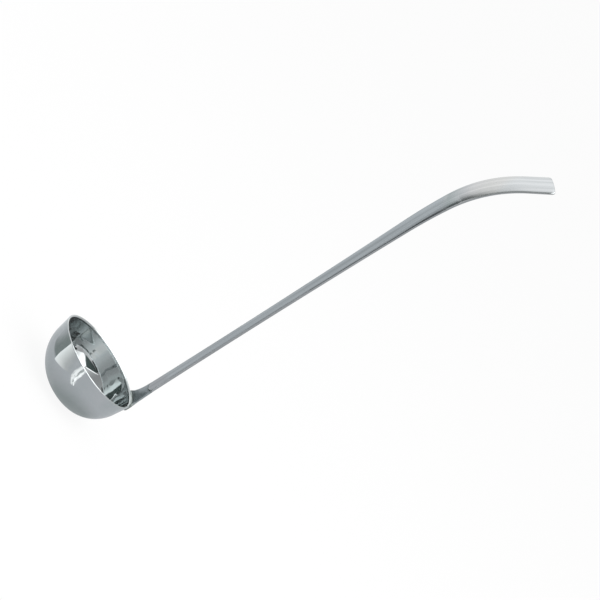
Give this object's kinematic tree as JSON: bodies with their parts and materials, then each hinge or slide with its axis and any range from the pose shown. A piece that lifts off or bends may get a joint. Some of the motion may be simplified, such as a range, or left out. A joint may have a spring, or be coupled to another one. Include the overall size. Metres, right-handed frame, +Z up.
{
  "type": "ladle",
  "caption": "Polished steel ladle with a deep round bowl, a flared neck welded to its wall and a long flat handle that widens and bends outwards at its end.",
  "frame": {"origin": "centre of the small flat at the bottom of the bowl", "axes": "+Z up along the axis of the bowl, towards the handle's end; +X from the bowl's axis to the handle; the ladle is symmetric about the XZ plane"},
  "size_m": [0.1106, 0.08, 0.3916],
  "materials": {
    "bowl_steel": "18/10 stainless sheet, deep drawn and polished to a mirror",
    "neck_steel": "18/10 stainless plate, pressed to shape and polished",
    "weld_steel": "stainless weld bead, ground and polished",
    "handle_steel": "18/10 stainless strip, bent and polished along its length"
  },
  "bodies": {
    "root": {"bowl": "bowl_steel", "neck": "neck_steel", "weld_seam": "weld_steel", "handle": "handle_steel"}
  },
  "joints": []
}
